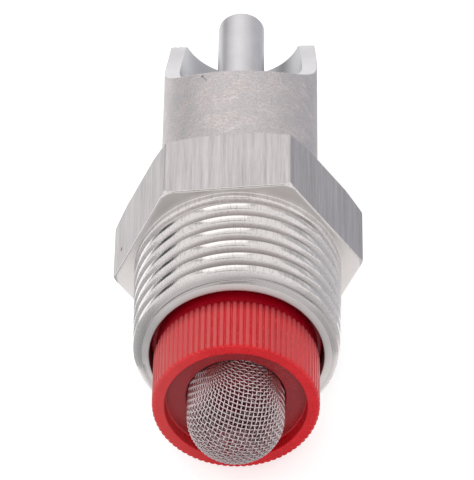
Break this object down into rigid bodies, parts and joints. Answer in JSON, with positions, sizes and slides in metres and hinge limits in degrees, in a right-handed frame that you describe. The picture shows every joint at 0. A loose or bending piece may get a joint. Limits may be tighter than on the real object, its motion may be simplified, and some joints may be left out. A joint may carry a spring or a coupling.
{
  "type": "pig nipple drinker",
  "caption": "Nipple drinker for pigs: threaded hexagon body, scooped barrel mouth, sprung bite pin, ribbed filter plug and mesh strainer.",
  "frame": {"origin": "on the axis, in the face of the hexagon that meets the pipe fitting", "axes": "+Y along the axis towards the mouth, -Y towards the pipe, +Z towards the open side of the mouth"},
  "size_m": [0.0254, 0.0657, 0.022],
  "materials": {
    "housing_steel": "satin",
    "pin_steel": "satin",
    "seal_rubber": "matte",
    "spring_steel": "satin",
    "disc_plastic": "matte",
    "plug_plastic": "satin",
    "mesh_steel": "satin"
  },
  "bodies": {
    "drinker": {"housing": "housing_steel", "filter_plug": "plug_plastic", "strainer": "mesh_steel", "flow_disc": "disc_plastic"},
    "spring": {"closing_spring": "spring_steel"},
    "seal": {"seat_seal": "seal_rubber"},
    "pin": {"nipple_pin": "pin_steel"}
  },
  "joints": [
    {"name": "pin_spin", "type": "hinge", "parent": "drinker", "child": "spring", "pos_m": [0, 0.004, 0], "axis": [0, 1, 0], "continuous": true},
    {"name": "pin_push", "type": "slide", "parent": "spring", "child": "seal", "axis": [0, -1, 0], "range_m": [0, 0.0025], "stiffness_N_per_m": 1200, "springref_m": -0.004, "deforming": ["closing_spring"]},
    {"name": "pin_tilt", "type": "hinge", "parent": "seal", "child": "pin", "pos_m": [0, 0.004, 0], "axis": [1, 0, 0], "range_deg": [-6.3, 6.3], "stiffness_Nm_per_rad": 0.35, "deforming": ["seat_seal", "closing_spring"]}
  ]
}
